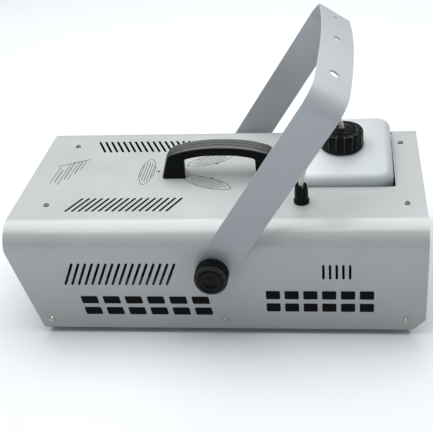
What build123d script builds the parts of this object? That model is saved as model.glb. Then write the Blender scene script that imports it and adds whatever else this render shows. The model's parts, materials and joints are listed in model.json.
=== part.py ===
"""Fog machine: sheet-metal case, heater, pump, drop-in fluid tank and a swinging hanging bracket.

Frame, in millimetres: origin on the floor under the middle of the case, +Z up, +X towards the
rear (tank end), -X towards the nozzle, Y across the machine. The left side is -Y.
"""
from build123d import *

import os
from math import asin, cos, pi, radians, sin, sqrt, tan

os.makedirs("parts", exist_ok=True)

# Driving dimensions
SHEET = 1.2  # steel sheet of the case
GAP = 0.05  # running and assembly clearance
FOOT_H = 8.0
CASE_L = 480.0
CASE_W = 266.0
CASE_H = 135.0
CASE_R = 28.0  # rounded top corners of the cover
CASE_TOP = FOOT_H + CASE_H
SIDE_Y = CASE_W / 2
COVER_FRONT_BOTTOM_X = -211.0
COVER_FRONT_KNEE_Z = 114.0
COVER_REAR_BOTTOM_X = 226.0
COVER_REAR_KNEE_Z = 22.0
FRONT_PANEL_X = -209.0
REAR_PANEL_X = 225.5
PANEL_FLANGE = 18.0
PANEL_BOTTOM = FOOT_H + SHEET + GAP

# Louvres of the cover
LOUVRE_COUNT = 16
LOUVRE_PITCH = 7.95
LOUVRE_W = 3.0
TOP_LOUVRE_START = (-168.0, 74.8)
TOP_LOUVRE_L = 34.0
TOP_LOUVRE_SLANT = 65.1
SIDE_LOUVRE_START = (-169.0, 84.6)
SIDE_LOUVRE_L = 32.3
SIDE_LOUVRE_SLANT = 67.6
REAR_LOUVRE_COUNT = 5
REAR_LOUVRE_PITCH = 7.43
REAR_LOUVRE_START = (124.1, 88.0)
REAR_LOUVRE_L = 19.5
REAR_LOUVRE_W = 2.8

# Screws of the cover
TOP_SCREWS = [(x, y) for x in (-201.0, 218.5) for y in (-76.0, 76.0)]
SIDE_SCREWS = [(x, 20.0) for x in (-200.0, 8.5, 217.5)]
SCREW_HEAD_R = 3.6
SCREW_HEAD_H = 1.9
SCREW_R = 2.0

# Hanging bracket
PIVOT_X = 0.0
PIVOT_Z = 92.5
BRACKET_ANGLE = 57.0  # above horizontal, leaning to the rear
BRACKET_LEN = 259.0
STRAP_W = 42.0
STRAP_T = 2.5
STRAP_R = 28.0
WASHER_T = 2.5  # friction washer between case and arm
ARM_Y = SIDE_Y + WASHER_T
BAR_BOW = 12.0  # the crossbar bulges outwards between the arms
BAR_R = ((ARM_Y + STRAP_T) ** 2 + BAR_BOW**2) / (2 * BAR_BOW)
CLAMP_HOLES = {4.0: 5.25, -88.0: 5.75, 85.0: 3.75}  # place along the crossbar: radius
STUD_R = 4.0
KNOB_R = 19.0
KNOB_L = 19.5
KNOB_WASHER_T = 1.0
KNOB_Y = ARM_Y + STRAP_T + KNOB_WASHER_T
KNURLS = 40

# Carrying handle
HANDLE_X = -1.5
HANDLE_D = 26.0
HANDLE_SCREW_X = 60.0

# Fluid tank
TANK_X = (84.0, 205.5)
TANK_Y = (-35.5, 107.5)
TANK_BOTTOM = 12.5
TANK_ROOF = ((-35.5, 155.5), (36.0, 164.5), (107.5, 167.5))  # across and up: near edge, middle, far edge
TANK_SEAT = 163.0  # flat seat of the cap
TANK_SEAT_R = 28.0
TANK_WALL = 2.5
TANK_ROOF_WALL = 5.5
TANK_R = 18.0
TANK_TOP_R = 11.0
RECESS_X = (82.0, 209.5)
RECESS_Y = (-36.5, 110.0)
CAP_X = 144.5
CAP_Y = 31.5
CAP_R = 26.3
CAP_BOTTOM = 163.3
CAP_TOP = 188.0
NECK_R = 21.0
NECK_BORE_R = 17.5
NECK_TOP = 176.0

# Suction hose and its gland
HOSE_R = 3.0
GLAND_X = 98.8
GLAND_Y = -70.8
GLAND_TOP = 166.0
HOSE_START_Z = 160.0
HOSE_ROUTE = [
    (GLAND_X, GLAND_Y, HOSE_START_Z),
    (98.8, -70.8, 172),
    (103.9, -66.8, 189),
    (110.0, -54.5, 207),
    (117.2, -35.5, 221),
    (124.8, -13.0, 227),
    (131.8, 7.0, 223),
    (137.3, 20.5, 213),
    (141.2, 28.3, 201),
    (CAP_X, CAP_Y, CAP_TOP + 1.6),
]

# Heater and nozzle
HEATER_X = (-175.0, -45.0)
HEATER_W = 66.0
HEATER_Z = (40.0, 92.0)
NOZZLE_Z = 66.0
JACKET_T = 8.0

# Pump
PUMP_X = 58.0
PUMP_Y = -88.0
PUMP_Z = (34.0, 112.0)
PUMP_BORE_R = 6.0
PLUNGER_Z = (44.0, 84.0)
SPRING_TOP = 102.0

# Circuit board
BOARD_X = 17.0
BOARD_Y = 66.0
BOARD_Z = 19.3
BOARD_SIZE = 90.0

# Places of the rear fittings, across and up
INLET_AT = (-88.0, 38.0)
SWITCH_AT = (-106.0, 78.0)
FUSE_AT = (-70.0, 78.0)
SOCKET_AT = (-88.0, 112.0)


def save(piece, label):
    """Name a finished piece and write it."""
    piece.part.label = label
    export_step(piece.part, f"parts/{label}.step")


def side_plane(side, y):
    """Plane across the pivot axis, y away from the middle, facing out on that side."""
    return Plane(origin=(PIVOT_X, side * y, PIVOT_Z), x_dir=(1, 0, 0), z_dir=(0, side, 0))


def rear_plane(place, out=0.0):
    """Plane on the rear panel's outer face at a fitting's place, facing rearwards."""
    return Plane(origin=(REAR_PANEL_X + out, place[0], place[1]), x_dir=(0, 1, 0), z_dir=(1, 0, 0))


def tube_radii(route):
    """Bend radii of a route, as large as its runs allow."""
    points = [Vector(*point) for point in route]
    radii = []
    for before, here, after in zip(points, points[1:], points[2:]):
        half_turn = radians((here - before).get_angle(after - here)) / 2
        shorter = min((here - before).length, (after - here).length)
        radii.append(0.45 * shorter / tan(half_turn))
    return radii


def tube(route, radius, label):
    """Round tube swept along straight runs joined by tangent arcs."""
    radii = tube_radii(route)
    with BuildPart() as piece:
        with BuildLine() as path:
            FilletPolyline(*route, radius=radii)
        wire = path.wires()[0]
        with BuildSketch(Plane(origin=wire @ 0, z_dir=wire % 0)):
            Circle(radius)
        sweep(path=wire)
    filled = piece.part.volume / (pi * radius**2 * wire.length)
    print(f"{label}: length {wire.length:.1f}, radii {[round(r, 1) for r in radii]}, filled {filled:.4f}")
    return piece


def case_profile(inset, bottom):
    """Cross-section of the case: square below, rounded above, inset from the cover's outside."""
    top = CASE_TOP - inset
    with Locations((0, (bottom + top) / 2)):
        Rectangle(CASE_W - 2 * inset, top - bottom)
    fillet(vertices().group_by(Axis.Y)[-1], CASE_R - inset)


# Cover: an inverted U whose front edge leans back below the knee
with BuildPart() as top_cover:
    with BuildSketch(Plane.YZ.offset(-CASE_L / 2)):
        case_profile(0, FOOT_H)
    extrude(amount=CASE_L)
    with BuildSketch(Plane.YZ.offset(-CASE_L / 2)):
        case_profile(SHEET, FOOT_H)
    extrude(amount=CASE_L, mode=Mode.SUBTRACT)
    with BuildSketch(Plane.XZ):
        Polygon(
            (-CASE_L / 2, CASE_TOP),
            (CASE_L / 2, CASE_TOP),
            (CASE_L / 2, COVER_REAR_KNEE_Z),
            (COVER_REAR_BOTTOM_X, FOOT_H),
            (COVER_FRONT_BOTTOM_X, FOOT_H),
            (-CASE_L / 2, COVER_FRONT_KNEE_Z),
            align=None,
        )
    extrude(amount=CASE_W, both=True, mode=Mode.INTERSECT)
    with BuildSketch(Plane.XY.offset(CASE_TOP - 5)):
        for side in (-1, 1):
            x, y = TOP_LOUVRE_START
            with Locations(*[(x + i * LOUVRE_PITCH, side * y) for i in range(LOUVRE_COUNT)]):
                SlotOverall(TOP_LOUVRE_L, LOUVRE_W, rotation=-side * TOP_LOUVRE_SLANT)
        with Locations(((RECESS_X[0] + RECESS_X[1]) / 2, (RECESS_Y[0] + RECESS_Y[1]) / 2)):
            RectangleRounded(RECESS_X[1] - RECESS_X[0], RECESS_Y[1] - RECESS_Y[0], 6)
        with Locations(*TOP_SCREWS):
            Circle(SCREW_R + GAP)
        with Locations((HANDLE_X - HANDLE_SCREW_X, 0), (HANDLE_X + HANDLE_SCREW_X, 0)):
            Circle(2.5 + GAP)
        with Locations((GLAND_X, GLAND_Y)):
            Circle(6 + GAP)
    extrude(amount=10, mode=Mode.SUBTRACT)
    with BuildSketch(Plane.XZ):
        x, z = SIDE_LOUVRE_START
        with Locations(*[(x + i * LOUVRE_PITCH, z) for i in range(LOUVRE_COUNT)]):
            SlotOverall(SIDE_LOUVRE_L, LOUVRE_W, rotation=SIDE_LOUVRE_SLANT)
        x, z = REAR_LOUVRE_START
        with Locations(*[(x + i * REAR_LOUVRE_PITCH, z) for i in range(REAR_LOUVRE_COUNT)]):
            SlotOverall(REAR_LOUVRE_L, REAR_LOUVRE_W, rotation=90)
        with Locations(*SIDE_SCREWS):
            Circle(SCREW_R + GAP)
        with Locations((PIVOT_X, PIVOT_Z)):
            Circle(STUD_R + GAP)
    extrude(amount=CASE_W, both=True, mode=Mode.SUBTRACT)
save(top_cover, "top_cover")

# Chassis tray: bottom plate with a flange along each side, between the end panels' flanges
TRAY_X = (FRONT_PANEL_X, REAR_PANEL_X)
TRAY_FLANGE_X = (FRONT_PANEL_X + PANEL_FLANGE + 1, REAR_PANEL_X - PANEL_FLANGE - 1)
FEET = [(x, y) for x in (-170.0, 190.0) for y in (-100.0, 100.0)]
with BuildPart() as chassis_tray:
    with BuildSketch(Plane.XY.offset(FOOT_H)):
        with Locations(((TRAY_X[0] + TRAY_X[1]) / 2, 0)):
            Rectangle(TRAY_X[1] - TRAY_X[0], CASE_W - 2 * SHEET - 2 * GAP)
    extrude(amount=SHEET)
    with BuildSketch(Plane.XY.offset(FOOT_H)):
        for side in (-1, 1):
            with Locations(((TRAY_FLANGE_X[0] + TRAY_FLANGE_X[1]) / 2, side * (SIDE_Y - 1.5 * SHEET - GAP))):
                Rectangle(TRAY_FLANGE_X[1] - TRAY_FLANGE_X[0], SHEET)
    extrude(amount=22)
    with BuildSketch(Plane.XY.offset(FOOT_H)):
        with Locations(*FEET):
            Circle(2 + GAP)
    extrude(amount=SHEET, mode=Mode.SUBTRACT)
    with BuildSketch(Plane.XZ):
        with Locations(SIDE_SCREWS[1]):
            Circle(SCREW_R + GAP)
    extrude(amount=CASE_W, both=True, mode=Mode.SUBTRACT)
save(chassis_tray, "chassis_tray")

# Front panel: shallow pan with its flanges turned inwards and a hole for the nozzle
with BuildPart() as front_panel:
    with BuildSketch(Plane.YZ.offset(FRONT_PANEL_X)):
        case_profile(SHEET + GAP, PANEL_BOTTOM)
    extrude(amount=PANEL_FLANGE)
    with BuildSketch(Plane.YZ.offset(FRONT_PANEL_X + SHEET)):
        case_profile(2 * SHEET + GAP, PANEL_BOTTOM + SHEET)
    extrude(amount=PANEL_FLANGE, mode=Mode.SUBTRACT)
    with BuildSketch(Plane.YZ.offset(FRONT_PANEL_X)):
        with Locations((0, NOZZLE_Z)):
            Circle(12)
    extrude(amount=SHEET, mode=Mode.SUBTRACT)
    with BuildSketch(Plane.XY.offset(CASE_TOP - 5)):
        with Locations(*TOP_SCREWS[:2]):
            Circle(SCREW_R + GAP)
    extrude(amount=10, mode=Mode.SUBTRACT)
    with BuildSketch(Plane.XZ):
        with Locations(SIDE_SCREWS[0]):
            Circle(SCREW_R + GAP)
    extrude(amount=CASE_W, both=True, mode=Mode.SUBTRACT)
save(front_panel, "front_panel")

# Rear panel: the same pan facing the other way, cut out for the electrical fittings
with BuildPart() as rear_panel:
    with BuildSketch(Plane.YZ.offset(REAR_PANEL_X - PANEL_FLANGE)):
        case_profile(SHEET + GAP, PANEL_BOTTOM)
    extrude(amount=PANEL_FLANGE)
    with BuildSketch(Plane.YZ.offset(REAR_PANEL_X - PANEL_FLANGE)):
        case_profile(2 * SHEET + GAP, PANEL_BOTTOM + SHEET)
    extrude(amount=PANEL_FLANGE - SHEET, mode=Mode.SUBTRACT)
    with BuildSketch(rear_plane((0, 0), -SHEET)):
        with Locations(INLET_AT):
            Rectangle(27.4, 20.2)
        with Locations((INLET_AT[0] - 20, INLET_AT[1]), (INLET_AT[0] + 20, INLET_AT[1])):
            Circle(1.5 + GAP)
        with Locations(SWITCH_AT):
            Rectangle(13.2, 19.4)
        with Locations(FUSE_AT):
            Circle(6.1)
        with Locations(SOCKET_AT):
            Circle(9.6)
    extrude(amount=SHEET, mode=Mode.SUBTRACT)
    with BuildSketch(Plane.XY.offset(CASE_TOP - 5)):
        with Locations(*TOP_SCREWS[2:]):
            Circle(SCREW_R + GAP)
    extrude(amount=10, mode=Mode.SUBTRACT)
    with BuildSketch(Plane.XZ):
        with Locations(SIDE_SCREWS[2]):
            Circle(SCREW_R + GAP)
    extrude(amount=CASE_W, both=True, mode=Mode.SUBTRACT)
save(rear_panel, "rear_panel")

# Cover screws: pan heads with a cross recess, four in the top and three in each side
with BuildPart() as cover_screws:
    screw_planes = [Plane(origin=(x, y, CASE_TOP), z_dir=(0, 0, 1)) for x, y in TOP_SCREWS]
    for side in (-1, 1):
        screw_planes += [Plane(origin=(x, side * SIDE_Y, z), z_dir=(0, side, 0)) for x, z in SIDE_SCREWS]
    for plane in screw_planes:
        with BuildSketch(plane):
            Circle(SCREW_HEAD_R)
        extrude(amount=SCREW_HEAD_H, taper=22)
        with BuildSketch(plane.offset(-8)):
            Circle(SCREW_R)
        extrude(amount=8)
        with BuildSketch(plane.offset(SCREW_HEAD_H - 1.1)):
            Rectangle(3.6, 0.8, rotation=45)
            Rectangle(0.8, 3.6, rotation=45)
        extrude(amount=2, mode=Mode.SUBTRACT)
save(cover_screws, "cover_screws")

# Rubber feet, with the screw recessed from below
with BuildPart() as rubber_feet:
    with BuildSketch(Plane.XY):
        with Locations(*FEET):
            Circle(10.5)
    extrude(amount=FOOT_H, taper=-8)
    with BuildSketch(Plane.XY):
        with Locations(*FEET):
            Circle(4.6)
    extrude(amount=4, mode=Mode.SUBTRACT)
    with BuildSketch(Plane.XY):
        with Locations(*FEET):
            Circle(2 + GAP)
    extrude(amount=FOOT_H, mode=Mode.SUBTRACT)
save(rubber_feet, "rubber_feet")

# Foot screws, up through the feet and the tray
with BuildPart() as foot_screws:
    with BuildSketch(Plane.XY.offset(1.6)):
        with Locations(*FEET):
            Circle(3.8)
    extrude(amount=2.4)
    with BuildSketch(Plane.XY.offset(4)):
        with Locations(*FEET):
            Circle(2)
    extrude(amount=8.3)
save(foot_screws, "foot_screws")

# Nuts of the foot screws, on the tray
with BuildPart() as foot_nuts:
    with BuildSketch(Plane.XY.offset(FOOT_H + SHEET)):
        with Locations(*FEET):
            RegularPolygon(3.5, 6, major_radius=False)
            Circle(2 + GAP, mode=Mode.SUBTRACT)
    extrude(amount=3)
save(foot_nuts, "foot_nuts")

# Carrying handle: a moulded bow on two solid feet
HANDLE_PLANE = Plane(origin=(HANDLE_X, 0, CASE_TOP), x_dir=(1, 0, 0), z_dir=(0, -1, 0))
HANDLE_BASE = 73.3
HANDLE_OPENING = 47.0
with BuildPart() as carry_handle:
    with BuildSketch(HANDLE_PLANE) as bow:
        with BuildLine():
            Polyline((-HANDLE_BASE, 0), (-64.5, 31), (-44, 37.6))
            ThreePointArc((-44, 37.6), (0, 42.5), (44, 37.6))
            Polyline((44, 37.6), (64.5, 31), (HANDLE_BASE, 0), (HANDLE_OPENING, 0), (46.5, 26.5))
            ThreePointArc((46.5, 26.5), (0, 34.3), (-46.5, 26.5))
            Polyline((-46.5, 26.5), (-HANDLE_OPENING, 0), (-HANDLE_BASE, 0))
        make_face()
        fillet(bow.vertices().sort_by_distance((-64.5, 31))[0], 13)
        fillet(bow.vertices().sort_by_distance((64.5, 31))[0], 13)
        fillet(bow.vertices().sort_by_distance((-46.5, 26.5))[0], 4)
        fillet(bow.vertices().sort_by_distance((46.5, 26.5))[0], 4)
    extrude(amount=HANDLE_D / 2, both=True)
    fillet(edges().filter_by(GeomType.CIRCLE).group_by(Axis.Z)[-1], 2.5)
    with BuildSketch(Plane.XY.offset(CASE_TOP)):
        with Locations((HANDLE_X - HANDLE_SCREW_X, 0), (HANDLE_X + HANDLE_SCREW_X, 0)):
            Circle(2.5 + GAP)
    extrude(amount=14, mode=Mode.SUBTRACT)
save(carry_handle, "carry_handle")

# Handle screws, from inside the cover
with BuildPart() as handle_screws:
    with BuildSketch(Plane.XY.offset(CASE_TOP - SHEET - 3.4)):
        with Locations((HANDLE_X - HANDLE_SCREW_X, 0), (HANDLE_X + HANDLE_SCREW_X, 0)):
            Circle(4.7)
    extrude(amount=3.4)
    with BuildSketch(Plane.XY.offset(CASE_TOP - SHEET)):
        with Locations((HANDLE_X - HANDLE_SCREW_X, 0), (HANDLE_X + HANDLE_SCREW_X, 0)):
            Circle(2.5)
    extrude(amount=SHEET + 13)
save(handle_screws, "handle_screws")

# Hanging bracket: one bent strap, drawn in the plane of its two arms
lean = radians(BRACKET_ANGLE)
REACH = Vector(cos(lean), 0, sin(lean))  # from the pivot to the crossbar
ACROSS = Vector(-sin(lean), 0, cos(lean))  # along the strap's width
PIVOT = (PIVOT_X, 0, PIVOT_Z)
STRAP_PLANE = Plane(origin=PIVOT, x_dir=(0, -1, 0), z_dir=ACROSS)


def strap_form(inset, width):
    """Solid inside the bracket's outline: straight arms, rounded corners and a bowed crossbar."""
    half = ARM_Y + STRAP_T - inset
    shoulder = BRACKET_LEN - BAR_R + sqrt((BAR_R - inset) ** 2 - half**2)
    with BuildPart() as form:
        with BuildSketch(STRAP_PLANE):
            with BuildLine():
                Polyline((-half, shoulder), (-half, 0), (half, 0), (half, shoulder))
                ThreePointArc((half, shoulder), (0, BRACKET_LEN - inset), (-half, shoulder))
            make_face()
            fillet(vertices().group_by(Axis.Y)[-1], STRAP_R - inset)
        extrude(amount=width / 2, both=True)
    return form


strap_outside = strap_form(0, STRAP_W)
strap_inside = strap_form(STRAP_T, 2 * STRAP_W)
with BuildPart() as hanging_bracket:
    add(strap_outside.part)
    add(strap_inside.part, mode=Mode.SUBTRACT)
    for side in (-1, 1):
        with BuildSketch(side_plane(side, ARM_Y)):
            Circle(STRAP_W / 2)
        extrude(amount=STRAP_T)
        with BuildSketch(side_plane(side, ARM_Y)):
            Circle(STUD_R + GAP)
        extrude(amount=STRAP_T, mode=Mode.SUBTRACT)
    for place, radius in CLAMP_HOLES.items():
        turn = asin(place / BAR_R)
        outwards = REACH * cos(turn) + Vector(0, sin(turn), 0)
        start = Vector(*PIVOT) + REACH * (BRACKET_LEN - BAR_R) + outwards * (BAR_R - 10)
        with BuildSketch(Plane(origin=start, z_dir=outwards)):
            Circle(radius)
        extrude(amount=20, mode=Mode.SUBTRACT)
save(hanging_bracket, "hanging_bracket")

# Friction washers: one between the case and each arm, one under each knob
with BuildPart() as friction_washers:
    for side in (-1, 1):
        for y, radius, thick in ((SIDE_Y, 15, WASHER_T), (ARM_Y + STRAP_T, 12, KNOB_WASHER_T)):
            with BuildSketch(side_plane(side, y + GAP / 2)):
                Circle(radius)
                Circle(STUD_R + 0.3, mode=Mode.SUBTRACT)
            extrude(amount=thick - GAP)
save(friction_washers, "friction_washers")

# Pivot nuts on their backing plates, welded inside the cover
with BuildPart() as pivot_nuts:
    for side in (-1, 1):
        with BuildSketch(side_plane(side, SIDE_Y - SHEET - 2)):
            RectangleRounded(40, 30, 4)
            Circle(STUD_R + GAP, mode=Mode.SUBTRACT)
        extrude(amount=2)
        with BuildSketch(side_plane(side, SIDE_Y - SHEET - 8.5)):
            RegularPolygon(6.5, 6, major_radius=False)
            Circle(STUD_R + GAP, mode=Mode.SUBTRACT)
        extrude(amount=6.5)
save(pivot_nuts, "pivot_nuts")


def clamp_stud(side):
    """Threaded stud, from inside the case out into the knob."""
    with BuildPart() as piece:
        with BuildSketch(side_plane(side, SIDE_Y - 12)):
            Circle(STUD_R)
        extrude(amount=KNOB_Y - SIDE_Y + 24)
    return piece


def clamp_knob(side):
    """Round knob with a fine grip around it, a ring groove and a dished middle."""
    with BuildPart() as piece:
        with BuildSketch(side_plane(side, KNOB_Y)):
            Circle(KNOB_R)
        extrude(amount=KNOB_L)
        chamfer(edges().filter_by(GeomType.CIRCLE), 1.2)
        with BuildSketch(side_plane(side, KNOB_Y)):
            with PolarLocations(KNOB_R + 0.35, KNURLS):
                Circle(0.95)
        extrude(amount=KNOB_L, mode=Mode.SUBTRACT)
        with BuildSketch(side_plane(side, KNOB_Y + KNOB_L - 1)):
            Circle(15)
            Circle(13, mode=Mode.SUBTRACT)
        extrude(amount=1, mode=Mode.SUBTRACT)
        with BuildSketch(side_plane(side, KNOB_Y + KNOB_L)):
            Circle(9)
        extrude(amount=-1.6, taper=45, mode=Mode.SUBTRACT)
        with BuildSketch(side_plane(side, KNOB_Y)):
            Circle(STUD_R + GAP)
        extrude(amount=12 + GAP, mode=Mode.SUBTRACT)
    return piece


for side, name in ((-1, "left"), (1, "right")):
    save(clamp_stud(side), f"clamp_stud_{name}")
    save(clamp_knob(side), f"clamp_knob_{name}")


def tank_form(inset, roof):
    """Rounded block of the tank, inset all round, with its sloping, slightly crowned roof lowered."""
    near, middle, far = TANK_ROOF
    low = (near[0] + inset, near[1] - roof)
    high = (far[0] - inset, far[1] - roof)
    floor = TANK_BOTTOM + inset
    with BuildPart() as form:
        with BuildSketch(Plane.YZ.offset(TANK_X[0] + inset)):
            with BuildLine():
                ThreePointArc(low, (middle[0], middle[1] - roof), high)
                Polyline(high, (high[0], floor), (low[0], floor), low)
            make_face()
        extrude(amount=TANK_X[1] - TANK_X[0] - 2 * inset)
        fillet(edges().filter_by(Axis.Z), TANK_R - inset)
        fillet(faces().sort_by(Axis.Z)[-1].edges(), TANK_TOP_R - inset)
        fillet(faces().sort_by(Axis.Z)[0].edges(), 5 - inset)
    return form


# Fluid tank: hollow, with a flat seat and a neck for the cap
tank_outside = tank_form(0, 0)
tank_inside = tank_form(TANK_WALL, TANK_ROOF_WALL)
with BuildPart() as fluid_tank:
    add(tank_outside.part)
    with BuildSketch(Plane.XY.offset(TANK_SEAT)):
        with Locations((CAP_X, CAP_Y)):
            Circle(TANK_SEAT_R)
    extrude(amount=10, mode=Mode.SUBTRACT)
    with BuildSketch(Plane.XY.offset(TANK_SEAT - 4)):
        with Locations((CAP_X, CAP_Y)):
            Circle(NECK_R)
    extrude(amount=NECK_TOP - TANK_SEAT + 4)
    add(tank_inside.part, mode=Mode.SUBTRACT)
    with BuildSketch(Plane.XY.offset(TANK_SEAT - 12)):
        with Locations((CAP_X, CAP_Y)):
            Circle(NECK_BORE_R)
    extrude(amount=NECK_TOP - TANK_SEAT + 12, mode=Mode.SUBTRACT)
save(fluid_tank, "fluid_tank")

# Foam pad under the tank
with BuildPart() as tank_pad:
    with BuildSketch(Plane.XY.offset(FOOT_H + SHEET)):
        with Locations(((TANK_X[0] + TANK_X[1]) / 2, (TANK_Y[0] + TANK_Y[1]) / 2)):
            RectangleRounded(84, 106, 8)
    extrude(amount=TANK_BOTTOM - FOOT_H - SHEET - GAP)
save(tank_pad, "tank_pad")

# Screw cap of the tank: skirt, stepped top and a boss that the hose passes through
CAP_PLANE = Plane(origin=(CAP_X, CAP_Y, 0), x_dir=(1, 0, 0), z_dir=(0, -1, 0))
CAP_GRIPS = 16
with BuildPart() as tank_cap:
    with BuildSketch(CAP_PLANE):
        Polygon(
            (CAP_R, CAP_BOTTOM),
            (CAP_R, 182.0),
            (24.0, 185.3),
            (17.5, 185.3),
            (17.5, 187.0),
            (11.5, 187.0),
            (11.5, 186.2),
            (5.2, 186.2),
            (5.2, CAP_TOP),
            (HOSE_R + GAP, CAP_TOP),
            (HOSE_R + GAP, NECK_TOP + 2),
            (NECK_R + 0.5, NECK_TOP + 2),
            (NECK_R + 0.5, CAP_BOTTOM),
            align=None,
        )
    revolve(axis=Axis((CAP_X, CAP_Y, 0), (0, 0, 1)))
    with BuildSketch(Plane.XY.offset(CAP_BOTTOM + 2)):
        with Locations((CAP_X, CAP_Y)):
            with PolarLocations(CAP_R + 0.8, CAP_GRIPS):
                Circle(1.4)
    extrude(amount=20, mode=Mode.SUBTRACT)
save(tank_cap, "tank_cap")

# Sealing ring in the cap
with BuildPart() as cap_gasket:
    with BuildSketch(Plane.XY.offset(NECK_TOP + GAP)):
        with Locations((CAP_X, CAP_Y)):
            Circle(NECK_R)
            Circle(NECK_BORE_R + 0.3, mode=Mode.SUBTRACT)
    extrude(amount=2 - 2 * GAP)
save(cap_gasket, "cap_gasket")

# Intake tube, down inside the tank from the cap's boss
with BuildPart() as intake_tube:
    with BuildSketch(Plane.XY.offset(34)):
        with Locations((CAP_X, CAP_Y)):
            Circle(HOSE_R)
    extrude(amount=CAP_TOP - 34)
save(intake_tube, "intake_tube")

# Sintered filter and sinker on the intake tube
with BuildPart() as intake_filter:
    with BuildSketch(Plane.XY.offset(18)):
        with Locations((CAP_X, CAP_Y)):
            Circle(7)
    extrude(amount=16)
    chamfer(edges().filter_by(GeomType.CIRCLE), 1)
save(intake_filter, "intake_filter")

# Suction hose, an open arch from the gland to the cap
suction_hose = tube(HOSE_ROUTE, HOSE_R, "suction_hose")
save(suction_hose, "suction_hose")

# Cable-type gland that takes the hose through the cover
with BuildPart() as gland_body:
    with BuildSketch(Plane.XY.offset(CASE_TOP)):
        with Locations((GLAND_X, GLAND_Y)):
            Circle(9.1)
    extrude(amount=4)
    with BuildSketch(Plane.XY.offset(CASE_TOP - SHEET - 9)):
        with Locations((GLAND_X, GLAND_Y)):
            Circle(6)
    extrude(amount=SHEET + 24)
    with BuildSketch(Plane.XY.offset(CASE_TOP - 20)):
        with Locations((GLAND_X, GLAND_Y)):
            Circle(HOSE_R + GAP)
    extrude(amount=50, mode=Mode.SUBTRACT)
save(gland_body, "gland_body")

# Domed nut of the gland, with notches in its rim
with BuildPart() as gland_nut:
    with BuildSketch(Plane(origin=(GLAND_X, GLAND_Y, 0), x_dir=(1, 0, 0), z_dir=(0, -1, 0))):
        Polygon(
            (6.3, CASE_TOP + 4.3),
            (7.9, CASE_TOP + 4.3),
            (7.9, GLAND_TOP - 8),
            (6.4, GLAND_TOP),
            (HOSE_R + GAP, GLAND_TOP),
            (HOSE_R + GAP, CASE_TOP + 15.3),
            (6.3, CASE_TOP + 15.3),
            align=None,
        )
    revolve(axis=Axis((GLAND_X, GLAND_Y, 0), (0, 0, 1)))
    with BuildSketch(Plane.XY.offset(GLAND_TOP - 5)):
        with Locations((GLAND_X, GLAND_Y)):
            Rectangle(20, 2.4, rotation=20)
            Rectangle(20, 2.4, rotation=110)
    extrude(amount=10, mode=Mode.SUBTRACT)
save(gland_nut, "gland_nut")

# Locknut of the gland, under the cover
with BuildPart() as gland_locknut:
    with BuildSketch(Plane.XY.offset(CASE_TOP - SHEET - 4.5)):
        with Locations((GLAND_X, GLAND_Y)):
            RegularPolygon(9, 6, major_radius=False)
            Circle(6 + GAP, mode=Mode.SUBTRACT)
    extrude(amount=4.5)
save(gland_locknut, "gland_locknut")

# Pump: coil on a bracket, body through the coil, plunger and return spring
SPIGOT_R = 3.0
INLET_SPIGOT_Z = 40.0
OUTLET_SPIGOT_Z = 106.0
SPIGOT_L = 19.0
with BuildPart() as pump_bracket:
    with BuildSketch(Plane.XY.offset(FOOT_H + SHEET)):
        with Locations((PUMP_X, PUMP_Y + 32)):
            Rectangle(40, 30)
            with GridLocations(26, 0, 2, 1):
                Circle(2, mode=Mode.SUBTRACT)
    extrude(amount=1.5)
    with BuildSketch(Plane.XY.offset(FOOT_H + SHEET)):
        with Locations((PUMP_X, PUMP_Y + 17.75)):
            Rectangle(40, 1.5)
    extrude(amount=84)
save(pump_bracket, "pump_bracket")

with BuildPart() as pump_coil:
    with BuildSketch(Plane.XY.offset(50)):
        with Locations((PUMP_X, PUMP_Y)):
            RectangleRounded(38, 34, 4)
            Circle(9 + GAP, mode=Mode.SUBTRACT)
    extrude(amount=40)
save(pump_coil, "pump_coil")

with BuildPart() as pump_body:
    with BuildSketch(Plane.XY.offset(PUMP_Z[0])):
        with Locations((PUMP_X, PUMP_Y)):
            Circle(9)
    extrude(amount=PUMP_Z[1] - PUMP_Z[0])
    with BuildSketch(Plane.YZ.offset(PUMP_X)):
        with Locations((PUMP_Y, INLET_SPIGOT_Z)):
            Circle(SPIGOT_R)
    extrude(amount=SPIGOT_L)
    with BuildSketch(Plane.YZ.offset(PUMP_X)):
        with Locations((PUMP_Y, OUTLET_SPIGOT_Z)):
            Circle(SPIGOT_R)
    extrude(amount=-SPIGOT_L)
    with BuildSketch(Plane.XY.offset(PLUNGER_Z[0] - GAP)):
        with Locations((PUMP_X, PUMP_Y)):
            Circle(PUMP_BORE_R + GAP)
    extrude(amount=SPRING_TOP - PLUNGER_Z[0] + GAP, mode=Mode.SUBTRACT)
    with BuildSketch(Plane.XY.offset(INLET_SPIGOT_Z)):
        with Locations((PUMP_X, PUMP_Y)):
            Circle(1.2)
    extrude(amount=OUTLET_SPIGOT_Z - INLET_SPIGOT_Z, mode=Mode.SUBTRACT)
    with BuildSketch(Plane.YZ.offset(PUMP_X)):
        with Locations((PUMP_Y, INLET_SPIGOT_Z)):
            Circle(1.2)
    extrude(amount=SPIGOT_L, mode=Mode.SUBTRACT)
    with BuildSketch(Plane.YZ.offset(PUMP_X)):
        with Locations((PUMP_Y, OUTLET_SPIGOT_Z)):
            Circle(1.2)
    extrude(amount=-SPIGOT_L, mode=Mode.SUBTRACT)
save(pump_body, "pump_body")

with BuildPart() as pump_plunger:
    with BuildSketch(Plane.XY.offset(PLUNGER_Z[0])):
        with Locations((PUMP_X, PUMP_Y)):
            Circle(PUMP_BORE_R)
            Circle(1.5, mode=Mode.SUBTRACT)
    extrude(amount=PLUNGER_Z[1] - PLUNGER_Z[0])
save(pump_plunger, "pump_plunger")

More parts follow.
